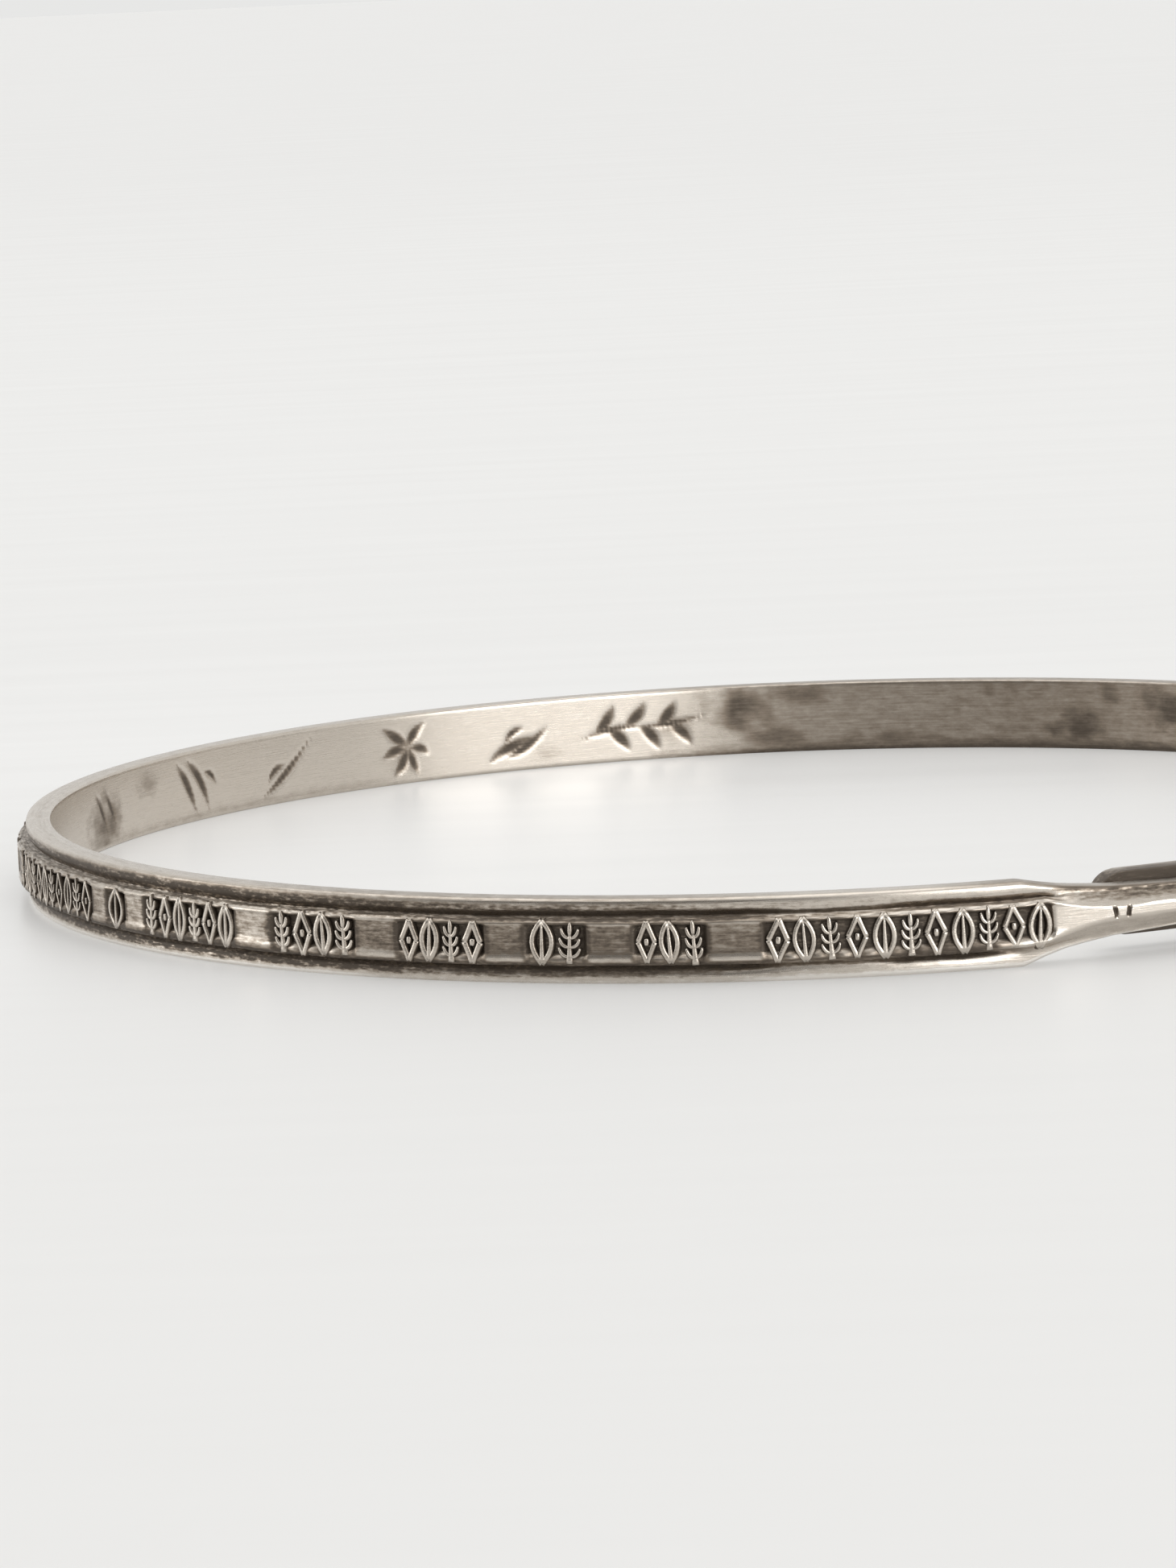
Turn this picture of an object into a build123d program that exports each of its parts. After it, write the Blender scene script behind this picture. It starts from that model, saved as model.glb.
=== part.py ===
"""Silver bangle, lying flat: one band bent into a ring whose two ends pass each other.

Millimetres, +Z up. The origin is the middle of the ring's footprint on the surface it lies on.
The band is followed clockwise, seen from above, by its turn in degrees, counted from the free
end of the outer, narrowed bar. The first half turn has one centre and the rest has another, a
little closer in, so the second end comes round inside the first one.
"""
import os
from math import cos, degrees, radians, sin

from build123d import *

# Ring, seen from above
ring_radius = 31.0
lap_gap = 0.45
bar_end_angle = -52.5

# Section of the band: two rails, two grooves and a raised strip between them
band_height = 3.1
wall = 1.0
rim = 0.09
rail_height = 0.42
groove_width = 0.28
groove_depth = 0.28
groove_slope = 0.08
strip_rise = 0.40
strip_bevel = 0.14

# Relief on the strip: sunk panels with raised motifs, and plain bars between the panels
panel_depth = 0.26
panel_lip = 0.19
motif_pitch = 0.925
motif_fill = 0.84
motif_drop = 0.02
motif_root = 0.04

# Outer end: the band tapers behind a shoulder into a faceted bar
taper_length = 6.4
bar_length = 6.6
bar_height = 1.55
bar_flat = 0.38
relief_past_shoulder = 1.30

# Inner end: a plain flat tongue with a round tip, narrower than the band and set high in it
lap_length = 8.9
tongue_length = 13.5
tongue_height = 2.35
tongue_lift = 0.20
strip_runout = 1.6

# Share of the taper's length, share of the height lost, share of the strip's flat lost
TAPER = [
    (0.00, 0.00, 0.00),
    (0.18, 0.31, 0.00),
    (0.30, 0.54, 0.34),
    (0.42, 0.68, 0.72),
    (0.58, 0.83, 1.00),
    (1.00, 1.00, 1.00),
]

# Length of a sunk panel and of the plain bar after it, both in motif pitches
PANELS = [
    (11.00, 2.25),
    (2.70, 1.95),
    (2.35, 1.80),
    (3.65, 2.05),
    (4.00, 2.20),
    (5.60, 1.65),
    (1.35, 1.50),
]

# Worked out from the sizes above
inner_radius = ring_radius - (wall + lap_gap) / 2
half_wall = wall / 2
strip_face = half_wall + strip_rise
panel_floor = strip_face - panel_depth
middle = band_height / 2
strip_bottom = rail_height + groove_width
strip_height = band_height - 2 * strip_bottom
joint_angle = bar_end_angle + 180
centre_step = ring_radius - inner_radius
centre_x = centre_step * (1 - cos(radians(joint_angle))) / 2
centre_y = centre_step * (1 - sin(radians(joint_angle))) / 2
outer_centre = Vector(centre_x, centre_y, 0)
inner_centre = outer_centre + Vector(
    centre_step * cos(radians(joint_angle)), centre_step * sin(radians(joint_angle)), 0)
UP = Vector(0, 0, 1)


def turn_of(length, radius=ring_radius):
    """Degrees of turn that a length along the middle of the wall takes."""
    return degrees(length / radius)


taper_start = turn_of(bar_length)
shoulder = taper_start + turn_of(taper_length)
relief_start = shoulder - turn_of(relief_past_shoulder)
tongue_tip = 360 + turn_of(lap_length, inner_radius)
tongue_start = tongue_tip - turn_of(tongue_length, inner_radius)
strip_end = tongue_start - turn_of(strip_runout, inner_radius)


def place(turn):
    """Centre, radius of the wall's middle and outward direction at a turn."""
    angle = radians(bar_end_angle - turn)
    outward = Vector(cos(angle), sin(angle), 0)
    if turn < 180:
        return outer_centre, ring_radius, outward
    return inner_centre, inner_radius, outward


def draw_section(turn, outline):
    """Closed outline, as distances outwards from the wall's middle and heights, at a turn."""
    centre, radius, outward = place(turn)
    with BuildSketch(Plane(origin=centre, x_dir=outward, z_dir=outward.cross(UP))) as section:
        with BuildLine():
            Polyline(*[(radius + out, up) for out, up in outline], close=True)
        make_face()
    return section.sketch


def run_section(start, end, outline, mode=Mode.ADD):
    """The outline carried clockwise round its centre from one turn to another."""
    section = draw_section(start, outline)
    centre = place(start)[0]
    return revolve(section, axis=Axis(centre, -UP), revolution_arc=end - start, mode=mode)


def facing_plane(turn, out, lift=0):
    """Plane facing outwards at a distance from the wall's middle, X along the band and Y up."""
    centre, radius, outward = place(turn)
    origin = centre + outward * (radius + out) + UP * (middle + lift)
    return Plane(origin=origin, x_dir=UP.cross(outward), z_dir=outward)


def round_tip(turn, side, height, out, lift=0):
    """Cut the corners off an end beyond a turn, to a half circle of the end's own height."""
    inside = -half_wall - lap_gap / 2
    with BuildSketch(facing_plane(turn, inside, lift)) as corners:
        with Locations((side * height / 2, 0)):
            Rectangle(height, height + 2 * rim)
        Circle(height / 2, mode=Mode.SUBTRACT)
    extrude(corners.sketch, amount=out - inside, mode=Mode.SUBTRACT)


def band_outline():
    """Rails, grooves and strip, up the outer face from the bottom."""
    lower = [
        (-half_wall, rim),
        (-half_wall + rim, 0),
        (half_wall - rim, 0),
        (half_wall, rim),
        (half_wall, rail_height),
        (half_wall - groove_depth, rail_height + groove_slope),
        (half_wall - groove_depth, strip_bottom),
        (strip_face - strip_bevel, strip_bottom),
        (strip_face, strip_bottom + strip_bevel),
    ]
    upper = [(out, band_height - up) for out, up in reversed(lower)]
    return lower + upper


def bar_outline(height, flat, rise, rail):
    """Smooth faceted section: a rail facet, a slope up to the flat, and the same above it."""
    bottom = middle - height / 2
    lower = [
        (-half_wall, bottom + rim),
        (-half_wall + rim, bottom),
        (half_wall - rim, bottom),
        (half_wall, bottom + rail),
        (half_wall + rise, middle - flat / 2),
    ]
    upper = [(out, band_height - up) for out, up in reversed(lower)]
    return lower + upper


def taper_outline(height_lost, flat_lost):
    """Section of the outer end between the shoulder and the bar."""
    strip_flat = strip_height - 2 * strip_bevel
    height = band_height - height_lost * (band_height - bar_height)
    flat = strip_flat - flat_lost * (strip_flat - bar_flat)
    rail = rim + (1 - height_lost) * (rail_height - rim)
    return bar_outline(height, flat, strip_rise, rail)


def panel_layout():
    """Start and end turn of each sunk panel, with the turn and width of each motif in it."""
    panels = []
    turn = relief_start
    row = 0
    while True:
        length, plain = PANELS[row % len(PANELS)]
        end = turn + turn_of(length * motif_pitch)
        if end > strip_end - turn_of(motif_pitch):
            return panels
        motifs = round(length)
        cell = (end - turn) / motifs
        width = radians(cell) * ring_radius * motif_fill
        panels.append((turn, end, [(turn + (i + 0.5) * cell, width) for i in range(motifs)]))
        turn = end + turn_of(plain * motif_pitch)
        row += 1


def lozenge(width, height):
    """A diamond standing on its point."""
    Polygon((width / 2, 0), (0, height / 2), (-width / 2, 0), (0, -height / 2), align=None)


def leaf(width, height):
    """A leaf with a pointed foot and tip, and flats along its sides."""
    side = [(0, -height / 2), (width / 2, -height / 6), (width / 2, height / 6)]
    Polygon(*side, *[(-x, -y) for x, y in side], align=None)


def sheaf(width, height):
    """A tied sheaf: wide at the foot and head, narrow at the waist."""
    side = [(width / 2, -height / 2), (width / 6, 0), (width / 2, height / 2)]
    Polygon(*side, *[(-x, -y) for x, y in side], align=None)


MOTIFS = [leaf, lozenge, sheaf]

with BuildPart() as bangle:
    # The band, from the shoulder round to where the strip runs out
    run_section(shoulder, 180, band_outline())
    run_section(180, strip_end, band_outline())

    # The outer end: taper and bar
    taper_sections = []
    for share, height_lost, flat_lost in TAPER:
        turn = shoulder - share * (shoulder - taper_start)
        taper_sections.append(draw_section(turn, taper_outline(height_lost, flat_lost)))
    loft(taper_sections, ruled=True)
    run_section(0, taper_start, bar_outline(bar_height, bar_flat, strip_rise, rim))
    round_tip(turn_of(bar_height / 2), 1, bar_height, strip_face + rim)

    # The inner end: the strip slopes away and the plain tongue follows
    tongue_shape = bar_outline(tongue_height, strip_height, 0, rim)
    tongue_outline = [(out, up + tongue_lift) for out, up in tongue_shape]
    runout_sections = [
        draw_section(strip_end, taper_outline(0, 0)),
        draw_section(tongue_start, tongue_outline),
    ]
    loft(runout_sections, ruled=True)
    run_section(tongue_start, tongue_tip, tongue_outline)
    tip_middle = tongue_tip - turn_of(tongue_height / 2, inner_radius)
    round_tip(tip_middle, -1, tongue_height, half_wall + lap_gap / 2, tongue_lift)

    # Sunk panels in the strip, with a lip left along both edges
    floor_outline = [
        (panel_floor, strip_bottom + panel_lip),
        (strip_face + wall, strip_bottom + panel_lip),
        (strip_face + wall, band_height - strip_bottom - panel_lip),
        (panel_floor, band_height - strip_bottom - panel_lip),
    ]
    layout = panel_layout()
    sunk = [run_section(start, end, floor_outline, Mode.PRIVATE) for start, end, motifs in layout]
    add(sunk, mode=Mode.SUBTRACT)

    # Raised motifs, rooted in the floor and the lips, just under the plain bars' face
    motif_height = strip_height - 2 * panel_lip + 2 * motif_root
    motif_foot = panel_floor - motif_root
    motif_top = strip_face - motif_drop
    places = [spot for start, end, motifs in layout for spot in motifs]
    for number, (turn, width) in enumerate(places):
        with BuildSketch(facing_plane(turn, motif_foot)):
            MOTIFS[number % len(MOTIFS)](width, motif_height)
    extrude(amount=motif_top - motif_foot)

bangle.part.label = "bangle"
os.makedirs("parts", exist_ok=True)
export_step(bangle.part, "parts/bangle.step")
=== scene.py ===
# %% [markdown]
# # An oxidised silver bangle, lying on its side
#
# The real bangle is one narrow band of silver, bent into a ring whose two ends pass each other.
# Its outer face has two plain rails, two dark grooves and a raised strip stamped with ornament.
# One end narrows to a faceted bar, the other is a flat tongue that slips inside it.
#
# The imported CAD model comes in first, as a fixed frame. It gives the true size and place. Then a
# finer skin of the same band is made with numpy, and it stands in for the plain CAD solid.

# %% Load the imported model
from math import cos, degrees, pi, radians, sin

import bpy
import numpy as np
from mathutils import Matrix, Vector


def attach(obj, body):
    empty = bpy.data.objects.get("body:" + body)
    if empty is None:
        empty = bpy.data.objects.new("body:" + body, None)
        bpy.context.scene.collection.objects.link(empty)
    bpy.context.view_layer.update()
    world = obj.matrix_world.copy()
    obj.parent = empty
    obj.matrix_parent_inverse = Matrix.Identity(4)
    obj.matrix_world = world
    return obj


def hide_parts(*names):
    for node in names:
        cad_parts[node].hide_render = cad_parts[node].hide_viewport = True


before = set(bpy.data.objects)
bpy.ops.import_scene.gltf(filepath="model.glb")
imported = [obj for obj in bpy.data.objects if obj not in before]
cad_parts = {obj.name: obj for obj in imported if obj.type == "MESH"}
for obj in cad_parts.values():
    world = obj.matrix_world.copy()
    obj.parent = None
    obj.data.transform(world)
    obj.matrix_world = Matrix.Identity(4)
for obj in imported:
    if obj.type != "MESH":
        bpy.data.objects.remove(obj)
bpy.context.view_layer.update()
MM = 0.001

# %% [markdown]
# ## The path of the band
#
# A place on the bangle is told by three numbers: its turn round the ring in degrees, counted
# clockwise from the tip of the bar, its distance out from the middle of the wall, and its height.
# A circle would do for a closed ring. This one laps itself, so it takes two half circles: the
# second has its centre a little off the first, and comes round inside it.

# %% Sizes of the band, in millimetres
ring_radius = 31.0
wall = 1.0
half_wall = wall / 2
lap_gap = 0.45
inner_radius = ring_radius - (wall + lap_gap) / 2
bar_end_angle = -52.5
joint_angle = radians(bar_end_angle + 180)
centre_step = ring_radius - inner_radius
outer_centre = np.array([1 - cos(joint_angle), 1 - sin(joint_angle)]) * centre_step / 2
inner_centre = outer_centre + centre_step * np.array([cos(joint_angle), sin(joint_angle)])
print("arc centres mm:", outer_centre.round(3), inner_centre.round(3))


# %% Turn a place on the band into a point
def turn_of(length, radius=ring_radius):
    """Degrees of turn that a length along the wall takes: length over radius, in degrees."""
    return np.degrees(length / radius)


def on_band(turn, out, up):
    """Points in metres: the arc's centre, plus the outward direction times radius and distance
    out, and the height as it is. Before half a turn the first arc is used, then the second."""
    turn, out, up = np.broadcast_arrays(turn, out, up)
    angle = np.radians(bar_end_angle - turn)
    first = turn < 180
    radius = np.where(first, ring_radius, inner_radius) + out
    x = np.where(first, outer_centre[0], inner_centre[0]) + radius * np.cos(angle)
    y = np.where(first, outer_centre[1], inner_centre[1]) + radius * np.sin(angle)
    return np.stack([x, y, up], -1) * MM


# %% Where each part of the band begins
bar_length = 6.6
taper_length = 6.4
relief_past_shoulder = 1.30
lap_length = 8.9
tongue_length = 13.5
strip_runout = 1.6
taper_start = turn_of(bar_length)
shoulder = taper_start + turn_of(taper_length)
relief_start = shoulder - turn_of(relief_past_shoulder)
tongue_tip = 360 + turn_of(lap_length, inner_radius)
tongue_start = tongue_tip - turn_of(tongue_length, inner_radius)
strip_end = tongue_start - turn_of(strip_runout, inner_radius)
print("turns: shoulder", shoulder.round(2), "strip end", strip_end.round(2),
      "tip", tongue_tip.round(2))

# %% [markdown]
# ## The layout of the stamped strip
#
# The smith has sunk panels into the strip with plain bars left between them, in an uneven rhythm:
# one long panel, then short ones. The same table of lengths that shaped the CAD solid is used
# again here, so that each fine ridge lands on its own plain motif.

# %% Panels and motifs
motif_pitch = 0.925
motif_fill = 0.84
PANELS = [
    (11.00, 2.25),
    (2.70, 1.95),
    (2.35, 1.80),
    (3.65, 2.05),
    (4.00, 2.20),
    (5.60, 1.65),
    (1.35, 1.50),
]


def panel_layout():
    """Start and end turn of each panel, and turn and width in mm of each motif in it: each panel
    is cut into equal cells, and the motif fills most of its cell."""
    panels, spots = [], []
    turn, row = relief_start, 0
    while True:
        length, plain = PANELS[row % len(PANELS)]
        end = turn + turn_of(length * motif_pitch)
        if end > strip_end - turn_of(motif_pitch):
            return np.array(panels), np.array(spots)
        count = round(length)
        cell = (end - turn) / count
        panels.append((turn, end))
        spots += [(turn + (i + 0.5) * cell, radians(cell) * ring_radius * motif_fill)
                  for i in range(count)]
        turn = end + turn_of(plain * motif_pitch)
        row += 1


panels, spots = panel_layout()
print(len(panels), "panels,", len(spots), "motifs")

# %% [markdown]
# ## Hand-made unevenness
#
# No line on a hand-worked band is quite straight. A random number for every vertex would look
# like sandpaper, so the random heights are set a step apart and joined smoothly. The step says
# how lazily the line wanders. Each wandering line has its own seed, so every run is the same.


# %% Wandering lines and patches
def wander(along, step, seed):
    """Smooth random line between -1 and 1: random heights a step apart, joined by cosine ease."""
    knots = np.random.default_rng(seed).uniform(-1, 1, int(np.max(along) / step) + 3)
    place = np.maximum(along, 0) / step
    low = place.astype(int)
    share = (1 - np.cos(pi * (place - low))) / 2
    return knots[low] * (1 - share) + knots[low + 1] * share


def dapple(along, up, step, seed):
    """Smooth random surface between -1 and 1: random heights on a square net, eased both ways."""
    size = (int(np.max(along) / step) + 3, int(np.max(up) / step) + 3)
    knots = np.random.default_rng(seed).uniform(-1, 1, size)
    x, y = np.maximum(along, 0) / step, np.maximum(up, 0) / step
    i, j = x.astype(int), y.astype(int)
    a, b = (1 - np.cos(pi * (x - i))) / 2, (1 - np.cos(pi * (y - j))) / 2
    low = knots[i, j] * (1 - a) + knots[i + 1, j] * a
    high = knots[i, j + 1] * (1 - a) + knots[i + 1, j + 1] * a
    return low * (1 - b) + high * b


def ease(value, start, end):
    """0 before start, 1 after end, and 3x2 - 2x3 of the share of the way between them."""
    share = np.clip((value - start) / (end - start), 0, 1)
    return share * share * (3 - 2 * share)


# %% [markdown]
# ## Columns: where the band is cut
#
# The skin is a grid. Columns are cuts across the band, rows run along it. Evenly spaced columns
# would waste most of their number on plain metal and still miss the panel ends, so the spacing
# follows the work: tight at panel ends, notches and tips, loose along the tongue.

# %% Spacing of the columns
# Turn of each notch on the bar, and how far in mm it leans
NOTCHES = [(17.24, 0.11), (16.32, -0.10)]
column_count = 1520
engraved_from, engraved_to = 136, 214
fine = np.linspace(0, tongue_tip, 40001)
spacing = np.full_like(fine, 0.14)
for start, step in [(engraved_from, 0.115), (engraved_to, 0.24), (tongue_start, 0.25)]:
    spacing[fine > start] = step
spacing[fine < taper_start] = 0.16
for edge in panels.ravel():
    spacing[abs(fine - edge) < turn_of(0.18)] = 0.065
for notch, _ in NOTCHES:
    spacing[abs(fine - notch) < turn_of(0.16)] = 0.035
spacing[fine < turn_of(0.5)] = 0.05
spacing[fine > tongue_tip - turn_of(0.8)] = 0.06
work = np.concatenate([[0], np.cumsum((1 / spacing)[1:])])
first_cut = turn_of(0.012)
last_cut = tongue_tip - turn_of(0.02)
turns = np.interp(np.linspace(0, work[-1], column_count), work, fine).clip(first_cut, last_cut)
along = np.radians(turns) * ring_radius
print(column_count, "columns, mean spacing mm:", (along[-1] / column_count).round(3))

# %% [markdown]
# ## The section of the band
#
# Cut the band and look at the end: a flat back, two rails, two grooves and a strip with bevelled
# edges. Fourteen corners draw it. Their places change along the band, so each corner is a pair of
# whole arrays with one number for every column. The grooves fade out at the shoulder by sliding
# their corners onto the slope between rail and strip.

# %% Heights that change along the band
band_height = 3.1
middle = band_height / 2
rim = 0.09
rail_height = 0.42
groove_width = 0.28
groove_depth = 0.22
groove_slope = 0.08
strip_rise = 0.396
strip_bevel = 0.14
bar_height = 1.55
bar_flat = 0.38
bar_lift = 0.24
tongue_height = 2.35
tongue_lift = 0.20
strip_bottom = rail_height + groove_width
strip_height = band_height - 2 * strip_bottom
strip_flat = strip_height - 2 * strip_bevel
# Share of the taper's length from the shoulder, of the height lost, and of the flat lost
TAPER = [
    (0.00, 0.00, 0.00),
    (0.05, 0.00, 0.00),
    (0.18, 0.31, 0.00),
    (0.30, 0.54, 0.34),
    (0.42, 0.68, 0.72),
    (0.58, 0.83, 1.00),
    (1.00, 1.00, 1.00),
]
taper = np.array(TAPER)[::-1]
taper_turns = shoulder - taper[:, 0] * (shoulder - taper_start)
stations = np.concatenate([taper_turns, [strip_end, tongue_start]])


def along_band(taper_values, at_strip_end, at_tongue):
    """Value at every column: straight lines between the taper's stations and the two far ones."""
    return np.interp(turns, stations, np.concatenate([taper_values, [at_strip_end, at_tongue]]))


height_lost, flat_lost = taper[:, 1], taper[:, 2]
height = along_band(band_height - height_lost * (band_height - bar_height),
                    band_height, tongue_height)
flat = along_band(strip_flat - flat_lost * (strip_flat - bar_flat), strip_flat, strip_height)
rail = along_band(rim + (1 - height_lost) * (rail_height - rim), rail_height, rim)
rise = along_band(height_lost * 0 + strip_rise, strip_rise, 0)
lift = along_band(bar_lift * height_lost, 0, tongue_lift)
ending = ease(turns, strip_end - turn_of(1.2), strip_end)
upper_groove = ease(turns, shoulder - turn_of(2.2), shoulder - turn_of(0.9)) - ending
lower_groove = ease(turns, shoulder - turn_of(1.6), shoulder + turn_of(1.6)) - ending
print("height mm from", height.min().round(2), "to", height.max().round(2))


# %% The fourteen corners
# Where on the slope from rail to strip the groove's three corners wait, as shares of the way
SLOPE_SHARES = (0.25, 0.5, 0.82)
groove_foot = 0.08
worn_share = 0.55
worn_through = ease(wander(along, 2.6, 95), -0.1, 0.9)
worn_through = worn_through * (1 - ease(turns, 42, 60)) * ease(turns, 24, 28)


def half_section(groove, seed):
    """Corners from the back's edge out to the strip's flat, as (out, rise from the outer edge):
    the groove's corners are a mix of their own places and places on the slope."""
    bottom = middle - height / 2
    wobble = 0.022 * wander(along, 1.7, seed) + 0.012 * wander(along, 0.45, seed + 1)
    rail_top = bottom + rail + groove * wobble
    flat_foot = middle - flat / 2 + groove * 0.012 * wander(along, 1.1, seed + 2)
    slope = [(half_wall + share * rise, rail_top + share * (flat_foot - rail_top))
             for share in SLOPE_SHARES]
    depth = half_wall - groove_depth * (1 - worn_share * worn_through)
    depth = depth + 0.02 * wander(along, 0.9, seed + 3)
    own = [(depth + groove_foot, rail_top + 2 * groove_slope),
           (depth, flat_foot - strip_bevel),
           (half_wall + rise - strip_bevel, flat_foot - strip_bevel)]
    dug = [(a * (1 - groove) + c * groove, b * (1 - groove) + d * groove)
           for (a, b), (c, d) in zip(slope, own)]
    edge = half_wall + 0 * along
    return [(-edge, bottom), (edge, bottom), (edge, rail_top), *dug, (half_wall + rise, flat_foot)]


lower = half_section(lower_groove, 11)
upper = [(out, band_height - up) for out, up in half_section(upper_groove, 31)[::-1]]
corners = np.array(lower + upper)
print("corners:", corners.shape)

# %% [markdown]
# ## Rows: from corners to a rounded outline
#
# Real edges are never sharp: polishing and wear round them, and the round is what catches light.
# A Bevel modifier could round them, but it would not know one edge from another on a grid this
# size. So each corner becomes a short curve of one, two or three points, with its own size.

# %% Rounding and rows
# How many mm are cut off each corner, and with how many points, from the back to the strip
ROUNDING = [0.09, 0.11, 0.15, 0.05, 0.0, 0.05, 0.05]
POINTS = [3, 3, 3, 2, 1, 2, 2]
upper_rim_cut = 0.14
most_cut = 0.4
back_rows, face_rows = 23, 8
rounding = ROUNDING + ROUNDING[::-1]
rounding[12] = upper_rim_cut
points = POINTS + POINTS[::-1]
run_rows = [0] * 14
run_rows[6], run_rows[12], run_rows[13] = face_rows, 1, back_rows
# Where the strip's lips end and its pressed face begins, as shares of its flat
lower_lip, lower_wall = 0.22 / strip_flat, 0.29 / strip_flat
upper_lip, upper_wall = 0.05 / strip_flat, 0.11 / strip_flat


def rounded_outline():
    """Rows of points round the section, and a key for each row that says where it is: 3 at
    corner 3, 3.5 halfway to corner 4. A rounded corner is the middle and ends of the curve
    (start + 2 corner + end) / 4; a run between corners is cut evenly."""
    rows, keys = [], []
    for k, (cut, count) in enumerate(zip(rounding, points)):
        here, before, after = corners[k], corners[k - 1], corners[(k + 1) % 14]
        reach = [np.linalg.norm(other - here, axis=0) + 1e-9 for other in (before, after)]
        start = here + (before - here) * np.minimum(cut / reach[0], most_cut)
        end = here + (after - here) * np.minimum(cut / reach[1], most_cut)
        picked = {1: [here], 2: [start, end], 3: [start, (start + 2 * here + end) / 4, end]}[count]
        rows += picked
        keys += list(np.linspace(k - 0.1, k + 0.1, count)) if count > 1 else [k]
        next_cut = rounding[(k + 1) % 14]
        next_start = after + (here - after) * np.minimum(next_cut / reach[1], most_cut)
        shares = np.linspace(0, 1, run_rows[k] + 2)[1:-1]
        if k == 6:
            inner = np.linspace(lower_wall, 1 - upper_wall, face_rows - 2)
            shares = np.concatenate([[lower_lip], inner, [1 - upper_lip]])
        rows += [end + (next_start - end) * share for share in shares]
        keys += list(k + 0.1 + 0.8 * shares)
    return np.array(rows), np.array(keys)


outline, keys = rounded_outline()
out, up = outline[:, 0], outline[:, 1]
row_key = keys[:, None]
face_share = np.clip((up - corners[6, 1]) / (corners[7, 1] - corners[6, 1]), 0, 1)
along_grid = along + 0 * up
print(len(keys), "rows,", 2 * len(keys) * (column_count - 1), "triangles")


# %% Pick rows and columns
def rows_in(first, last):
    """True for the rows whose key is between two numbers."""
    return (row_key > first) & (row_key < last)


def by_row(table):
    """A number for every row: straight lines between a table's row keys."""
    return np.interp(row_key, *np.array(table).T)


def by_turn(table):
    """A number for every column: straight lines between a table's turns."""
    return np.interp(turns, *np.array(table).T)


# %% [markdown]
# ## Stamping the strip
#
# The strip's middle is pressed in a hair behind its two lips, and the panels are pressed much
# deeper. Both are one height field: a window along the band times a window across the strip.
# The lips are dented where the punch came close. It could be cut with booleans, but a grid that
# is pushed in keeps one clean closed skin.

# %% Press in the strip
panel_depth = 0.26
strip_dish = 0.055
dimple_depth = 0.022
dent_depth = 0.022
dent_at_motif = 0.055
soft_edge = turn_of(0.11)
window_turns = (panels[:, :, None] + [-soft_edge, soft_edge]).reshape(-1)
window = np.tile([0.0, 1.0, 1.0, 0.0], len(panels))
in_panel = ease(np.interp(turns, window_turns, window), 0, 1)
to_edge = np.radians(abs(turns[:, None] - panels.ravel()).min(1)) * ring_radius
to_motif = np.radians(abs(turns[:, None] - spots[:, 0]).min(1)) * ring_radius
on_face = rows_in(5.95, 7.05)
across = ease(face_share, lower_lip, lower_wall) * ease(1 - face_share, upper_lip, upper_wall)
has_relief = ease(turns, relief_start - turn_of(0.6), relief_start) * (1 - ending)
dimple = dimple_depth * dapple(along_grid, up, 0.33, 51)
press = across * (strip_dish + in_panel * (panel_depth - strip_dish + dimple)) * has_relief
dents = np.where(row_key < 6.5, wander(along, 0.37, 61), wander(along, 0.41, 62))
at_foot = 1 - ease(to_motif, 0.12, 0.42)
groove = np.where(row_key < 6.5, lower_groove, upper_groove)
lip_press = dent_depth * (1 + dents) + dent_at_motif * at_foot
press += (1 - across) * in_panel * has_relief * groove * lip_press
out = out - np.where(rows_in(4.9, 8.1), press, 0)
print("panels take up", round(100 * in_panel.mean()), "% of the columns")

# %% Notches on the flat of the bar, and the bar's hammered slopes
notch_depth = 0.10
notch_floor, notch_edge = turn_of(0.035), turn_of(0.085)
hammer_depth = 0.016
for notch, lean in NOTCHES:
    line = notch + turn_of(lean * (face_share - 0.5))
    cut = 1 - ease(abs(turns - line), notch_floor, notch_edge)
    out = out - np.where(on_face, notch_depth * cut, 0)
on_bar = 1 - ease(turns, taper_start + turn_of(1.5), shoulder - turn_of(1.2))
hammered = dapple(along_grid, up, 0.55, 71) + 0.5 * dapple(along_grid, up, 0.25, 72)
slopes = rows_in(1.5, 5.8) | rows_in(7.2, 11.5)
out = out + np.where(slopes, hammer_depth * hammered * on_bar, 0)
print("pressed to", out[on_face[:, 0]].min().round(3), "mm from the wall's middle")

# %% [markdown]
# ## Engraving the inside
#
# Inside the wrist hollow a few sprigs are cut into the back. The graver goes in shallow, swells
# and comes out shallow, so every stroke is a leaf: wide in the middle and pointed at both ends.
# The cut is real depth in the mesh. Each vertex asks how far it is from the nearest stroke.

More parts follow.
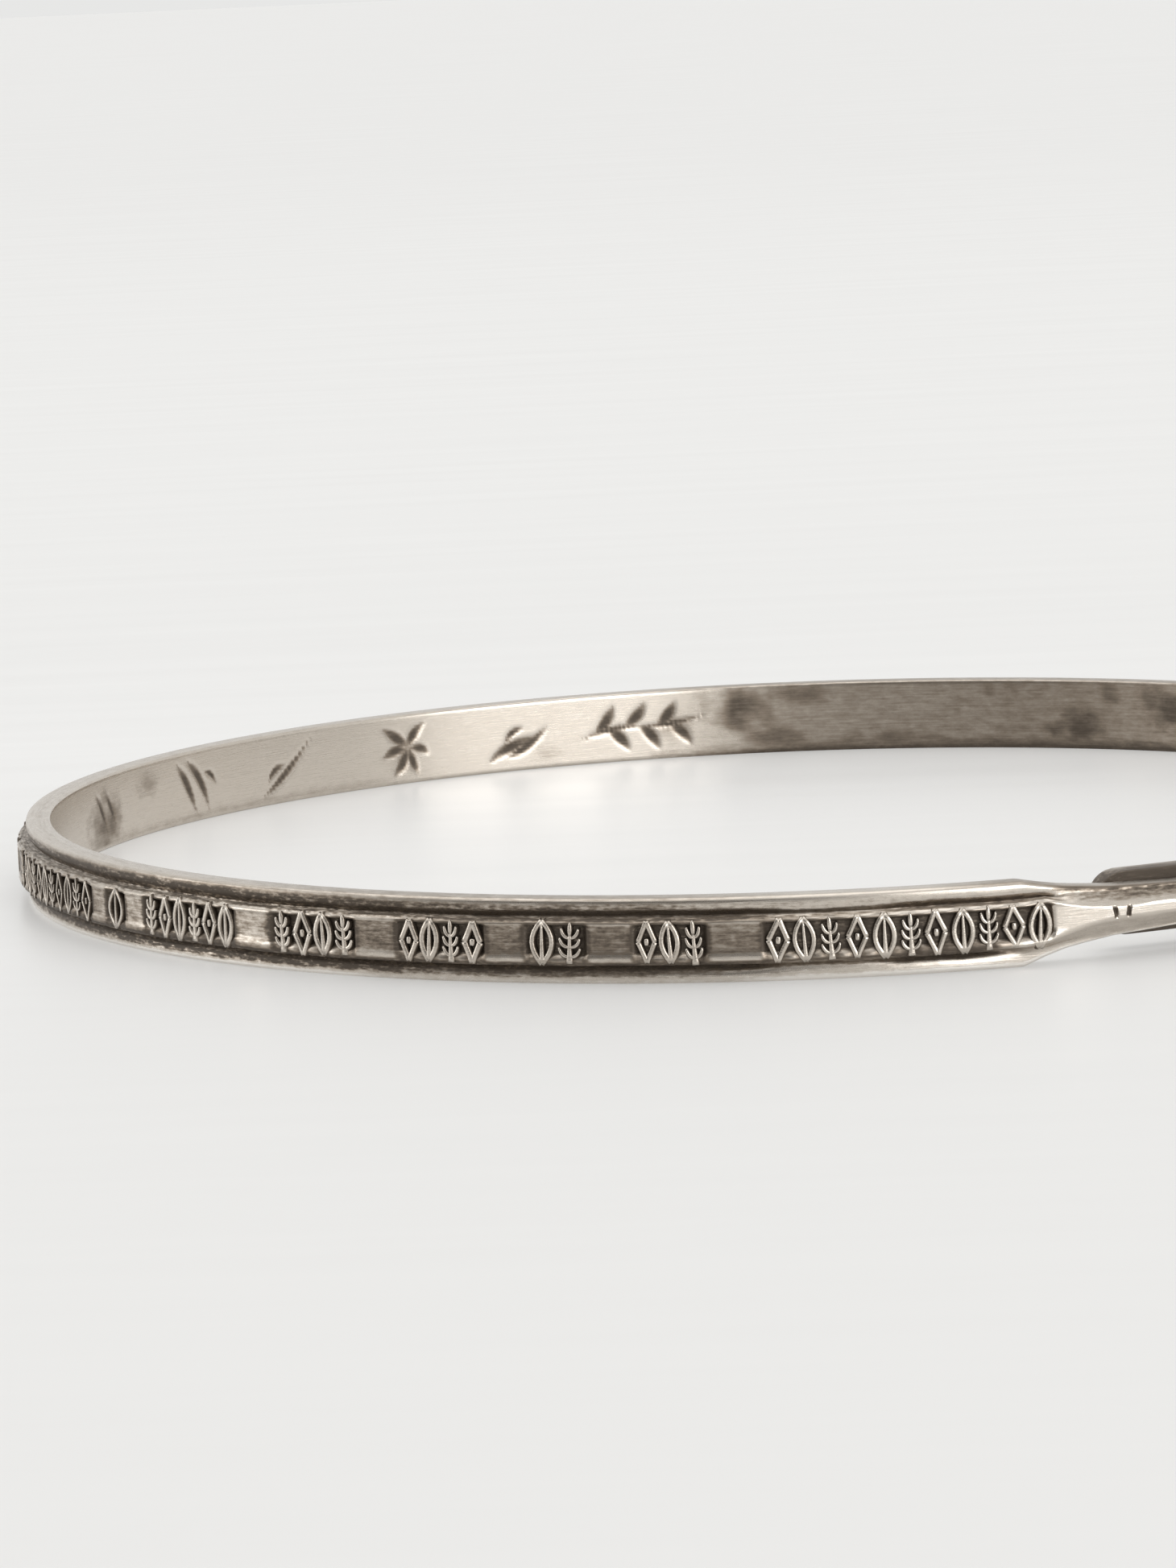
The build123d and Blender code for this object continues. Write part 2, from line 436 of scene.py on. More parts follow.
# %% The sprigs
# Turn of each sprig's middle, and its strokes: three points of a curve in mm, and the width
SPRIGS = [
    (143.5, [
        ((-1.1, 0.9), (-0.2, 0.1), (0.1, -1.0), 0.17),
        ((0.1, 0.8), (0.6, 0.2), (1.1, -0.7), 0.17),
    ]),
    (158.8, [
        ((-1.5, 1.05), (-0.7, 0.3), (-0.2, -1.15), 0.22),
        ((-0.8, 1.15), (0.3, 0.5), (0.7, -1.1), 0.22),
        ((0.5, 0.5), (1.0, 0.5), (1.2, 0.0), 0.13),
    ]),
    (170.0, [
        ((-1.5, -1.1), (-0.2, -0.5), (1.4, 1.15), 0.20),
        ((-1.2, -0.5), (-0.9, 0.1), (-0.2, 0.1), 0.15),
    ]),
    (182.6, [
        ((0.1, 0.1), (-0.5, 0.5), (-1.2, 1.0), 0.26),
        ((0.1, 0.1), (0.2, 0.6), (0.9, 1.1), 0.24),
        ((0.0, 0.0), (-0.6, 0.1), (-1.3, -0.3), 0.24),
        ((0.1, 0.0), (0.8, 0.1), (1.1, -0.3), 0.20),
        ((0.0, 0.0), (-0.1, -0.6), (-0.7, -1.1), 0.26),
        ((0.1, 0.0), (0.3, -0.6), (0.5, -1.1), 0.20),
    ]),
    (193.8, [
        ((-1.6, -1.0), (-0.7, -0.3), (0.9, -0.1), 0.26),
        ((-0.7, -0.9), (0.2, -0.6), (1.2, 0.3), 0.22),
        ((-0.9, -0.3), (-0.6, 0.3), (0.1, 0.4), 0.15),
    ]),
    (204.6, [
        ((-2.8, -0.4), (-1.4, 0.1), (0.0, 0.0), 0.15),
        ((0.0, 0.0), (1.4, -0.1), (2.9, 0.35), 0.15),
        ((-2.1, -0.1), (-1.6, 0.2), (-1.3, 0.95), 0.27),
        ((-0.7, 0.1), (-0.2, 0.3), (0.2, 1.0), 0.27),
        ((0.8, 0.0), (1.3, 0.3), (1.6, 1.0), 0.27),
        ((-1.5, -0.1), (-1.0, -0.3), (-0.6, -1.0), 0.27),
        ((0.0, 0.0), (0.5, -0.3), (0.8, -1.0), 0.27),
        ((1.4, 0.0), (1.9, -0.2), (2.3, -0.85), 0.27),
    ]),
]
stroke_steps = 15
engraving_depth = 0.05
on_back = row_key > 13.0
here_y = up - middle
engraved = 0 * up
for sprig_turn, strokes in SPRIGS:
    here_x = np.radians(turns - sprig_turn) * inner_radius
    for start, bend, end, width in strokes:
        for s in np.linspace(0, 1, stroke_steps):
            x, y = ((1 - s) ** 2 * np.array(start) + 2 * s * (1 - s) * np.array(bend)
                    + s ** 2 * np.array(end))
            swelling = sin(pi * s)
            reach = 1.15 * width * (0.35 + 0.65 * swelling)
            away = np.hypot(here_x - x, here_y - y)
            cut = (1 - ease(away, reach * 0.3, reach * 1.25)) * (0.5 + 0.5 * swelling)
            engraved = np.maximum(engraved, cut)
in_back = ease(up, 0.15, 0.4) * ease(band_height - up, 0.15, 0.4)
engraved = np.where(on_back, engraved * in_back, 0)
out = out + engraving_depth * engraved
print("engraved share of the back:", engraved[on_back[:, 0]].mean().round(3))

# %% [markdown]
# ## Round the two tips and close the skin
#
# Each free end is filed to a half circle. The outline shrinks towards its middle as a circle
# does: the square root of one minus the square of the share left to the tip. A flat cap of faces
# closes what is left, so the skin has no hole.

# %% Tips
least_share = 0.03
tip_wall = 0.62
from_tongue_tip = np.radians(tongue_tip - turns) * inner_radius
to_tip = np.minimum(along / (bar_height / 2), from_tongue_tip / (tongue_height / 2))
swell = np.sqrt(1 - (1 - np.clip(to_tip, least_share, 1)) ** 2)
up = middle + lift + (up - middle) * swell
out = out * (tip_wall + (1 - tip_wall) * swell)
skin = on_band(turns, out, up)
print("skin box mm:", (skin.min((0, 1)) / MM).round(2), (skin.max((0, 1)) / MM).round(2))


# %% Put a grid into a mesh
def make_piece(name, vertices, faces, attributes):
    """Mesh object from vertices, faces and named numbers or vectors, one for each vertex."""
    mesh = bpy.data.meshes.new(name)
    mesh.from_pydata(vertices.reshape(-1, 3), [], faces)
    for label, values in attributes.items():
        kind, field = ("FLOAT", "value") if values.ndim == 1 else ("FLOAT_VECTOR", "vector")
        layer = mesh.attributes.new(label, kind, "POINT")
        layer.data.foreach_set(field, np.ascontiguousarray(values, np.float32).ravel())
    mesh.polygons.foreach_set("use_smooth", np.ones(len(faces), bool))
    mesh.update()
    piece = bpy.data.objects.new(name, mesh)
    bpy.context.scene.collection.objects.link(piece)
    return piece


def grid_faces(rows, columns):
    """Four corners of each cell: rows join up into a loop, columns don't. Columns run clockwise
    seen from above, so this order of corners turns the faces inwards."""
    row, column = np.meshgrid(np.arange(rows), np.arange(columns - 1), indexing="ij")
    above = (row + 1) % rows
    cells = [row * columns + column, row * columns + column + 1,
             above * columns + column + 1, above * columns + column]
    return np.stack(cells, -1).reshape(-1, 4)


# %% [markdown]
# ## Age: where the silver has gone dark, with painted shade and painted highlight
#
# Oxidised silver is blackened all over and then rubbed back, so black stays in the hollows and
# bare metal shows on what sticks out. Age is one number for each vertex: 0 is bare, 1 is black
# and less than 0 is polished, in places a painted highlight. Some of the dark is painted shade,
# not tarnish: on the plain bars and at the foot of the back. The skin knows which row is a groove
# and which an edge, so tables from row key to age give the broad picture, and tables from turn to
# age change it along the band. The material breaks it up later with noise.

# %% Tables of age
# By row key: the band's lower and upper half, the bar and the tongue
LOWER_AGE = [
    (-0.1, 0.15), (0.0, 0.05), (0.5, 0.15), (0.9, 0.02), (1.0, 0.02), (1.1, 0.02), (1.4, 0.08),
    (1.7, 0.22), (1.9, 0.44), (2.0, 0.78), (2.1, 0.88), (3.0, 0.84), (4.0, 0.82), (4.9, 0.84),
    (5.1, 0.88), (5.9, 0.85), (6.1, 0.16),
]
UPPER_AGE = [
    (6.9, 0.30), (7.1, 0.70), (7.9, 0.82), (8.1, 0.72), (9.0, 0.68), (10.0, 0.70), (10.9, 0.66),
    (11.1, 0.52), (11.9, 0.20), (12.0, 0.14), (12.1, 0.18), (12.5, 0.26), (13.0, 0.16),
    (13.1, 0.10),
]
# On the bar the face rows go below 0, polished white: polish and painted highlight on the flat
BAR_AGE_AND_HIGHLIGHT = [
    (-0.1, 0.2), (1.0, 0.12), (1.5, 0.40), (5.0, 0.40), (5.9, -0.70), (6.5, -0.75),
    (7.1, -0.60), (7.6, 0.0), (8.4, 0.35), (9.4, 0.66), (11.0, 0.76), (12.0, 0.76),
    (12.1, 0.50), (12.5, 0.36), (13.1, 0.1),
]
TONGUE_AGE = [
    (0.0, 0.60), (0.9, 0.80), (1.2, 0.95), (11.8, 0.95), (12.1, 0.90), (12.5, 0.80),
    (12.9, 0.45), (13.1, 0.40),
]
# By turn: the plain bars between panels, and the bevel along the strip's upper edge
BARS_AGE = [
    (36, 0.54), (42.4, 0.60), (57.8, 0.62), (67.3, 0.64), (73, 0.54), (77.8, 0.40), (90, 0.38),
    (95, 0.48), (100, 0.68), (130, 0.68), (135, 0.50), (340, 0.50),
]
EDGE_AGE = [
    (21, 0.15), (32, 0.25), (38, 0.66), (43, 1.00), (60, 1.00), (65, 0.66), (72, 0.38),
    (90, 0.42), (98, 0.50), (105, 0.58), (130, 0.58), (340, 0.58),
]
# First and last row key, and what is added there by turn
ADDED_AGE = {
    "foot of the back": (-1.0, 0.3, [(204, 0.0), (216, 0.80), (262, 0.80), (300, 0.10)]),
    "lower rail's top": (1.75, 2.3, [(64, 0.0), (70, 0.28), (84, 0.34), (94, 0.22), (106, 0.12),
                                     (150, 0.0)]),
    "lower lip": (5.8, 6.35, [(74, 0.0), (78, 0.45), (98, 0.55), (108, 0.10), (150, 0.0)]),
    "upper rail's side": (10.8, 11.95, [(23, 0.0), (33, 0.0), (44, 0.04), (62, 0.10), (72, 0.32),
                                        (80, 0.44), (94, 0.44), (105, 0.32), (150, 0.20)]),
    "upper rim": (11.95, 13.05, [(18, 0.60), (25, 0.42), (31, 0.08), (42, 0.20), (70, 0.18),
                                 (82, 0.0), (200, 0.0), (212, 0.22), (262, 0.22), (300, 0.10)]),
}
print("age is added at:", ", ".join(ADDED_AGE))

# %% Age of the rails and grooves
# Near the shoulder the rails are rubbed nearly clean
rubbed_share = 0.8
band_age = by_row(LOWER_AGE + UPPER_AGE) + 0 * up
left_over = 1 - rubbed_share * (1 - ease(turns, 36, 50))
on_rails = (row_key < 2.6) | (row_key > 10.4)
band_age = np.where(on_rails, band_age * left_over, band_age)
for first, last, table in ADDED_AGE.values():
    band_age = np.where(rows_in(first, last), band_age + by_turn(table), band_age)
edge_age = by_turn(EDGE_AGE) * (0.5 + 0.5 * ease(row_key, 6.9, 7.9))
band_age = np.where(rows_in(6.95, 7.95), edge_age, band_age)
print("rails and grooves: age from", band_age.min().round(2), "to", band_age.max().round(2))

# %% Age and painted shade of the strip's face
# Plain bars are painted darker towards the panels, as far as a wandering border, and towards
# their foot: painted shade. The lips darken beside the panels, at the motifs' feet, at the panels'
# ends and near the shoulder
panel_end_shade = 1.05
lower_lip_shade, upper_lip_shade = 0.22, 0.60
foot_shade, end_shade, shoulder_shade = 0.40, 0.50, 0.60
border = (0.50 + 0.14 * wander(along, 1.3, 81)) * (0.62 + 0.5 * np.sin(pi * face_share))
# Painted shade: the plain bars darken near each panel's end, where the face runs into the panel
painted_end_shade = (1 - ease(to_edge, 0.08, border)) * (0.35 + 0.65 * ease(turns, 21.4, 21.9))
# Painted shade: each plain bar is darker towards its foot, above the lower lip
bars_age_and_shade = by_turn(BARS_AGE) * (0.98 + 0.16 * (1 - face_share))
dull_and_shaded_bars = np.maximum(bars_age_and_shade, panel_end_shade * painted_end_shade) * across
lip_shade = np.where(row_key < 6.5, lower_lip_shade, upper_lip_shade) * in_panel
lip_shade = lip_shade + foot_shade * at_foot * in_panel
lip_shade = lip_shade + end_shade * (1 - ease(to_edge, 0.05, 0.22))
lip_shade = lip_shade + shoulder_shade * (1 - ease(turns, 29, 34))
lip_age = (band_age + lip_shade * has_relief) * (1 - across)
band_age = np.where(on_face, np.maximum(dull_and_shaded_bars, lip_age), band_age)
print("face: mean age", band_age[on_face[:, 0]].mean().round(2))

# %% Age of the bar, with polish and painted highlight on its flat, mixed in where the grooves have faded out
BAR_WEAR = [(15, 1.0), (18.5, 0.75), (21, 0.4)]
lower_half_share = 0.6
worn_groove = 0.42
bar_tip_age = 0.55
panel_darkness = 0.95
bar_age_and_highlight = by_row(BAR_AGE_AND_HIGHLIGHT) + 0 * up
bar_wear = np.where(row_key > 11, 1.0, by_turn(BAR_WEAR))
bar_age_and_highlight = np.where(bar_age_and_highlight > 0, bar_age_and_highlight * bar_wear, bar_age_and_highlight)
bar_age_and_highlight = np.where(row_key < 5.5, lower_half_share * bar_age_and_highlight, bar_age_and_highlight)
in_groove = rows_in(2.1, 5.2) | rows_in(7.9, 10.6)
band_age = np.where(in_groove, band_age - worn_groove * worn_through, band_age)
age = band_age * groove + bar_age_and_highlight * (1 - groove)
age = np.maximum(age, bar_tip_age * (1 - ease(along, 0.12, 0.55)))
panel_age = panel_darkness * across * in_panel * has_relief
age = np.where(on_face, np.maximum(age, panel_age), age)
print("bar: age from", bar_age_and_highlight.min().round(2), "to", bar_age_and_highlight.max().round(2))

# %% Age of the tongue and the notches
# The band blackens towards the tongue along a ragged border
rim_rub = 0.28
tongue_tip_age = 0.9
border_reach = 1.3
on_tongue = ease(turns, strip_end, tongue_start)
tongue_age = by_row(TONGUE_AGE)
rubbed_rim = rim_rub * ease(wander(along, 1.2, 96), 0.0, 0.9)
tongue_age = np.where(rows_in(12.2, 13.05), tongue_age - rubbed_rim, tongue_age)
tongue_age = np.maximum(tongue_age, tongue_tip_age * (1 - ease(from_tongue_tip, 0.5, 1.1)))
ragged_turns = turns + border_reach * dapple(along_grid, up, 0.9, 93)
blackened = ease(ragged_turns, strip_end - 0.8, tongue_start + 3.4)
age = age * (1 - blackened) + tongue_age * blackened
for notch, _ in NOTCHES:
    near = 1 - ease(abs(turns - notch), turn_of(0.05), turn_of(0.11))
    age = np.where(on_face, np.maximum(age, near), age)
print("age from", age.min().round(2), "to", age.max().round(2))

# %% Tarnish on the back, with painted highlight and painted shade
# Turn of each patch's middle and its height in mm, its reach in degrees and in mm, and its age
PATCHES = [
    (213.6, 1.95, 4.2, 1.4, 0.84),
    (218.5, 2.70, 5.5, 0.8, 0.72),
    (216.5, 0.70, 4.6, 0.9, 0.74),
    (227.0, 0.50, 13.0, 0.7, 0.72),
    (237.5, 2.80, 3.4, 1.3, 0.82),
    (243.6, 1.00, 4.8, 1.6, 0.92),
    (246.5, 2.50, 3.2, 1.0, 0.78),
    (252.0, 2.00, 3.6, 1.8, 0.92),
    (182.3, 1.20, 2.6, 1.2, 0.34),
    (196.3, 0.75, 1.6, 0.5, 0.30),
    (207.5, 1.30, 2.4, 1.0, 0.44),
    (143.0, 1.00, 3.6, 1.5, 0.80),
    (151.0, 2.20, 2.0, 0.8, 0.45),
]
engraved_darkness = 0.95
ragged = 0.28 * dapple(along_grid, up, 0.8, 91) + 0.12 * dapple(along_grid, up, 0.35, 92)
# Painted highlight: between turns 178 and 207 the back is painted polished, brighter than bare
# silver
painted_back_highlight = ease(turns, 178, 187) - ease(turns, 200, 207)
back_age_and_light = 0.05 - 0.62 * painted_back_highlight + 0.42 * ease(turns, 206, 219)
# Painted shade: the back is darker towards its foot, where it meets the board; past turn 226 it
# darkens a little more
back_age_and_light = back_age_and_light + 0.30 * (1 - ease(up, 0.1, 0.6)) + 0.08 * ease(turns, 226, 240)
for turn, rise_at, reach_turn, reach_up, strength in PATCHES:
    far = np.hypot((turns - turn) / reach_turn, (up - rise_at) / reach_up) + ragged
    back_age_and_light = np.maximum(back_age_and_light, strength * (1 - ease(far, -0.10, 1.50)))
back_age_and_light = np.maximum(back_age_and_light, engraved_darkness * engraved)
age = np.where(on_back, back_age_and_light, age)
print(len(PATCHES), "patches, back's mean age", back_age_and_light[on_back[:, 0]].mean().round(2))

# %% Polish and painted highlight on the lower rail, and pits
ROW_POLISH_AND_HIGHLIGHT = [(0.8, 0.0), (0.9, 0.75), (1.5, 0.65), (1.85, 0.0)]
TURN_POLISH_AND_HIGHLIGHT = [(20, 0.6), (26, 1.3), (34, 1.1), (43, 0.3), (66, 0.3), (73, 1.0), (100, 0.8)]
ROW_PITS = [(1.2, 0.2), (1.8, 1.0), (5.2, 1.0), (5.8, 0.25), (7.2, 0.25), (7.8, 1.0),
            (11.2, 1.0), (11.9, 0.2)]
TURN_PITS = [(25, 0.35), (45, 0.6), (60, 0.9), (75, 1.1), (92, 1.1), (100, 0.6)]
# Ages below 0 paint the lower rail polished white where it catches light: polish and painted
# highlight
age = (age - by_row(ROW_POLISH_AND_HIGHLIGHT) * by_turn(TURN_POLISH_AND_HIGHLIGHT) * (1 - on_tongue)).clip(-1, 1)
pitted = by_row(ROW_PITS) * groove * by_turn(TURN_PITS) + 0.06
slope_pits = 0.6 * ease(row_key, 7.6, 9.0) * (1 - ease(row_key, 11.2, 12.0)) * (1 - groove)
pitted = pitted + slope_pits * (1 - on_tongue)
pitted = np.where(on_back, 0.1, pitted + (0.3 + 0.2 * in_panel) * across * on_face)
pitted = pitted + 0.5 * ease(turns, tongue_tip - turn_of(1.6), tongue_tip - turn_of(0.5))
print("pitted from", pitted.min().round(2), "to", pitted.max().round(2))

# %% Make the skin
cells = grid_faces(len(keys), column_count)
row_starts = np.arange(len(keys)) * column_count
caps = [row_starts[::-1], row_starts + column_count - 1]
lie = np.stack(np.broadcast_arrays(along, up, out), -1).reshape(-1, 3)
band = make_piece("bangle_band", skin, cells.tolist() + [cap.tolist() for cap in caps],
                  {"age": age.reshape(-1), "pitted": pitted.reshape(-1), "lie": lie})
print("band:", len(band.data.vertices), "vertices,", len(band.data.polygons), "faces")

# %% [markdown]
# ## Raised ornament in the panels
#
# Cast relief stands up from the panel floor as thin ridges with flared feet. Carving them out of
# the skin would need a much finer grid, so each ridge is its own small closed body, rooted in
# the floor: a rounded profile carried along a short curve. Three motifs take turns, as in the
# CAD solid: a ribbed leaf, a lozenge round a pellet, and an ear of wheat.


# %% Draw the motifs
def stroke(start, bend, end, foot=1.5, waist=1.0, head=1.5):
    """One ridge: three control points of a quadratic curve, in motif widths and heights, and the
    ridge's width at its start, middle and end as shares of the plain width."""
    return (start, bend, end), (foot, waist, head)


LEAF = [
    stroke((0, -0.5), (0.86, 0.0), (0, 0.5), 1.3, 0.95, 1.1),
    stroke((0, -0.5), (-0.86, 0.0), (0, 0.5), 1.3, 0.95, 1.1),
    stroke((0, -0.5), (0, 0), (0, 0.42), 1.2, 0.75, 0.5),
]
LOZENGE = [
    stroke((0, -0.5), (0.22, -0.25), (0.44, 0), 1.3, 0.9, 1.2),
    stroke((0.44, 0), (0.22, 0.25), (0, 0.5), 1.2, 0.9, 1.3),
    stroke((0, -0.5), (-0.22, -0.25), (-0.44, 0), 1.3, 0.9, 1.2),
    stroke((-0.44, 0), (-0.22, 0.25), (0, 0.5), 1.2, 0.9, 1.3),
    stroke((0, -0.08), (0, 0), (0, 0.08), 0.8, 1.3, 0.8),
]
WHEAT = [
    stroke((0, -0.5), (0, -0.2), (0, 0.22), 1.7, 0.75, 0.7),
    stroke((0, 0.18), (0, 0.34), (0, 0.51), 0.6, 1.5, 0.4),
    stroke((0.02, -0.34), (0.34, -0.34), (0.42, -0.12), 0.5, 1.2, 0.4),
    stroke((-0.02, -0.34), (-0.34, -0.34), (-0.42, -0.12), 0.5, 1.2, 0.4),
    stroke((0.02, -0.10), (0.34, -0.10), (0.40, 0.12), 0.5, 1.2, 0.4),
    stroke((-0.02, -0.10), (-0.34, -0.10), (-0.40, 0.12), 0.5, 1.2, 0.4),
    stroke((0.02, 0.12), (0.30, 0.14), (0.34, 0.36), 0.5, 1.2, 0.4),
    stroke((-0.02, 0.12), (-0.30, 0.14), (-0.34, 0.36), 0.5, 1.2, 0.4),
]
MOTIFS = [LEAF, LOZENGE, WHEAT]
ridge_width = 0.195
ridge_steps = 9
motif_margin = 0.17
motif_height = strip_height - motif_margin
panel_floor = half_wall + strip_rise - panel_depth
ridge_root, ridge_drop = 0.05, 0.005
ridge_foot = panel_floor - ridge_root
ridge_top = half_wall + strip_rise - ridge_drop
bend_wear = 0.42
# The ridge's profile: distance to the side, height and age of its six points
SIDE = np.array([-1.22, -0.92, -0.64, 0.64, 0.92, 1.22])
LIFT = np.array([0.0, 0.84, 1.0, 1.0, 0.84, 0.0])
RIDGE_AGE = np.array([1.0, 0.80, 0.14, 0.14, 0.80, 1.0])
# What is added to the profile's age at the left bend, and to all of it by turn
BEND_AGE = np.array([0.5, 0.6, 0.06, 0.06, 0.6, 0.5])
TOP_AGE = [(34, 0.0), (44, 0.09), (66, 0.09), (73, 0.02), (360, 0.02)]


def ridge_lines(motif):
    """Centre lines and widths of a motif's ridges at even steps: the curve is (1-s)2 start +
    2s(1-s) bend + s2 end, and widths follow the same rule."""
    pull = np.array([points for points, _ in motif], float)
    widths = np.array([widths for _, widths in motif], float)
    s = np.linspace(0, 1, ridge_steps)[:, None, None]
    weights = np.array([(1 - s) ** 2, 2 * s * (1 - s), s ** 2])[:, :, :, 0]
    line = np.einsum("ksz,mkc->msc", weights, pull)
    width = np.einsum("ksz,mk->ms", weights, widths)
    return line, width


def place_motif(motif, chosen):
    """Vertices of one kind of motif at all its places: each line is scaled to the motif's width
    and height, leaned and shifted a little, then widened into the ridge's profile."""
    line, width = ridge_lines(motif)
    rng = np.random.default_rng(900 + len(motif))
    count = len(chosen)
    lean = np.radians(rng.uniform(-3.5, 3.5, count))[:, None, None]
    scale = rng.uniform(0.94, 1.05, (count, 2))
    shift = rng.uniform(-0.03, 0.03, (count, 2))
    x = line[None, :, :, 0] * (chosen[:, 1] * scale[:, 0])[:, None, None]
    z = line[None, :, :, 1] * (motif_height * scale[:, 1])[:, None, None]
    x, z = x * np.cos(lean) - z * np.sin(lean), x * np.sin(lean) + z * np.cos(lean)
    x, z = x + shift[:, 0, None, None], z + shift[:, 1, None, None]
    step_x, step_z = np.gradient(x, axis=2), np.gradient(z, axis=2)
    size = np.hypot(step_x, step_z)
    worn = (ease(chosen[:, 0], 86, 98) - ease(chosen[:, 0], 122, 130))[:, None, None]
    thick = ridge_width * width * rng.uniform(0.88, 1.15, (count, 1, 1)) * (1 - bend_wear * worn)
    half = (thick / 2)[..., None] * SIDE
    px = x[..., None] - (step_z / size)[..., None] * half
    pz = z[..., None] + (step_x / size)[..., None] * half
    top = ridge_top - rng.uniform(0, 0.035, (count, 1, 1, 1)) - 0.02 * abs(line[..., 1:2])[None]
    po = ridge_foot + LIFT * (top - ridge_foot)
    turn = chosen[:, 0, None, None, None]
    lying = (px + np.radians(turn) * ring_radius, middle + pz, po)
    return (on_band(turn - turn_of(px), po, middle + pz),
            np.stack(np.broadcast_arrays(*lying), -1))


# %% Carry the profile along every ridge
ridge_points, ridge_lie = [], []
for kind, motif in enumerate(MOTIFS):
    placed, lying = place_motif(motif, spots[kind::len(MOTIFS)])
    ridge_points.append(placed.reshape(-1, ridge_steps, len(SIDE), 3))
    ridge_lie.append(lying.reshape(-1, 3))
ridge_points = np.concatenate(ridge_points)
ridge_total = len(ridge_points)
step, ring = np.meshgrid(np.arange(ridge_steps - 1), np.arange(len(SIDE)), indexing="ij")
beside = (ring + 1) % len(SIDE)
one = np.stack([step * len(SIDE) + ring, (step + 1) * len(SIDE) + ring,
                (step + 1) * len(SIDE) + beside, step * len(SIDE) + beside], -1).reshape(-1, 4)
starts = (np.arange(ridge_total) * ridge_steps * len(SIDE))[:, None, None]
ridge_cells = (one[None] + starts).reshape(-1, 4)
end_cap = np.arange(len(SIDE))
cap_faces = np.concatenate([end_cap[None] + starts[:, 0],
                            end_cap[::-1][None] + (ridge_steps - 1) * len(SIDE) + starts[:, 0]])
ridge_lie = np.concatenate(ridge_lie)
ridge_turn = np.degrees(ridge_lie[:, 0] / ring_radius)
at_bend = ease(ridge_turn, 92, 104) - ease(ridge_turn, 126, 134)
ridge_age = np.tile(RIDGE_AGE, ridge_total * ridge_steps)
ridge_age = ridge_age + np.tile(BEND_AGE, ridge_total * ridge_steps) * at_bend
ridge_age = ridge_age + np.interp(ridge_turn, *np.array(TOP_AGE).T)
relief = make_piece("bangle_relief", ridge_points, ridge_cells.tolist() + cap_faces.tolist(),
                    {"age": ridge_age, "pitted": 0.15 + 0 * ridge_age, "lie": ridge_lie})
print("relief:", ridge_total, "ridges,", len(relief.data.polygons), "faces")


# %% Check that faces point outwards
def volume(piece):
    """Volume in cubic mm, which is above zero when faces point outwards: the sum of a x b . c
    over six, for each triangle's corners."""
    piece.data.calc_loop_triangles()
    place = np.zeros(len(piece.data.vertices) * 3)
    piece.data.vertices.foreach_get("co", place)
    index = np.zeros(len(piece.data.loop_triangles) * 3, int)
    piece.data.loop_triangles.foreach_get("vertices", index)
    a, b, c = place.reshape(-1, 3)[index].reshape(-1, 3, 3).transpose(1, 0, 2)
    return (np.cross(a, b) * c).sum() / 6 / MM ** 3


for piece in (band, relief):
    print(piece.name, "volume mm3:", round(volume(piece), 2))

# %% [markdown]
# ## Shader sums in plain Python
#
# A material is a net of nodes, and sums written as nodes are hard to read. A small class wraps a
# socket and teaches it plus, minus and times, so that `1 - mask` adds the Math node by itself.


# %% Wires and looks
class Wire:
    """An output socket that can be used in Python sums."""

    def __init__(self, look, socket):
        self.look, self.socket = look, socket

    def math(self, operation, other, swap=False):
        pair = (other, self) if swap else (self, other)
        return self.look.get("ShaderNodeMath", {"operation": operation}, dict(enumerate(pair)))

    def __add__(self, other):
        return self.math("ADD", other)

    __radd__ = __add__

    def __mul__(self, other):
        return self.math("MULTIPLY", other)

    __rmul__ = __mul__

    def __sub__(self, other):
        return self.math("SUBTRACT", other)

    def __rsub__(self, other):
        return self.math("SUBTRACT", other, swap=True)


class Look:
    """A material, or the world, whose nodes are added one by one."""

    def __init__(self, owner):
        owner.use_nodes = True
        self.tree = owner.node_tree
        self.tree.nodes.clear()

    def node(self, kind, settings=(), inputs=()):
        """Adds a node: its settings first, then values or wires for its sockets."""
        made = self.tree.nodes.new(kind)
        for name, value in dict(settings).items():
            setattr(made, name, value)
        for name, value in dict(inputs).items():
            if isinstance(value, Wire):
                self.tree.links.new(value.socket, made.inputs[name])
            else:
                made.inputs[name].default_value = value
        return made

    def get(self, kind, settings=(), inputs=(), output=0):
        """Adds a node and gives back one of its outputs as a wire."""
        return Wire(self, self.node(kind, settings, inputs).outputs[output])

    def ramp(self, value, start, end, low=0.0, high=1.0):
        """Smooth step: low below start, high above end."""
        return self.get("ShaderNodeMapRange", {"interpolation_type": "SMOOTHSTEP"},
                        {0: value, 1: start, 2: end, 3: low, 4: high})

    def mix(self, share, first, second):
        """Colour between two colours."""
        return self.get("ShaderNodeMix", {"data_type": "RGBA"}, {0: share, 6: first, 7: second}, 2)

    def noise(self, place, stretch, detail=3.0, rough=0.55):
        """Noise between about 0.2 and 0.8 on a place stretched by three numbers."""
        moved = self.get("ShaderNodeVectorMath", {"operation": "MULTIPLY"}, {0: place, 1: stretch})
        return self.get("ShaderNodeTexNoise", {}, {"Vector": moved, "Scale": 1.0,
                                                   "Detail": detail, "Roughness": rough})


# %% [markdown]
# ## Oxidised silver
#
# Bare silver is a metal with a warm pale colour, whiter where wear has polished it and where a
# highlight is painted on. Brushing draws long fine scratches along the band, so that noise is
# stretched about thirty to one. The black is the same metal under sulphide: darker, rougher, and
# blotchy at its borders.

# %% The silver
# The polished colour also serves as painted highlight, wherever age goes below 0
POLISH_AND_HIGHLIGHT = (0.965, 0.925, 0.87, 1)
BARE = (0.665, 0.605, 0.535, 1)
DULL = (0.285, 0.236, 0.188, 1)
BLACK = (0.092, 0.072, 0.054, 1)


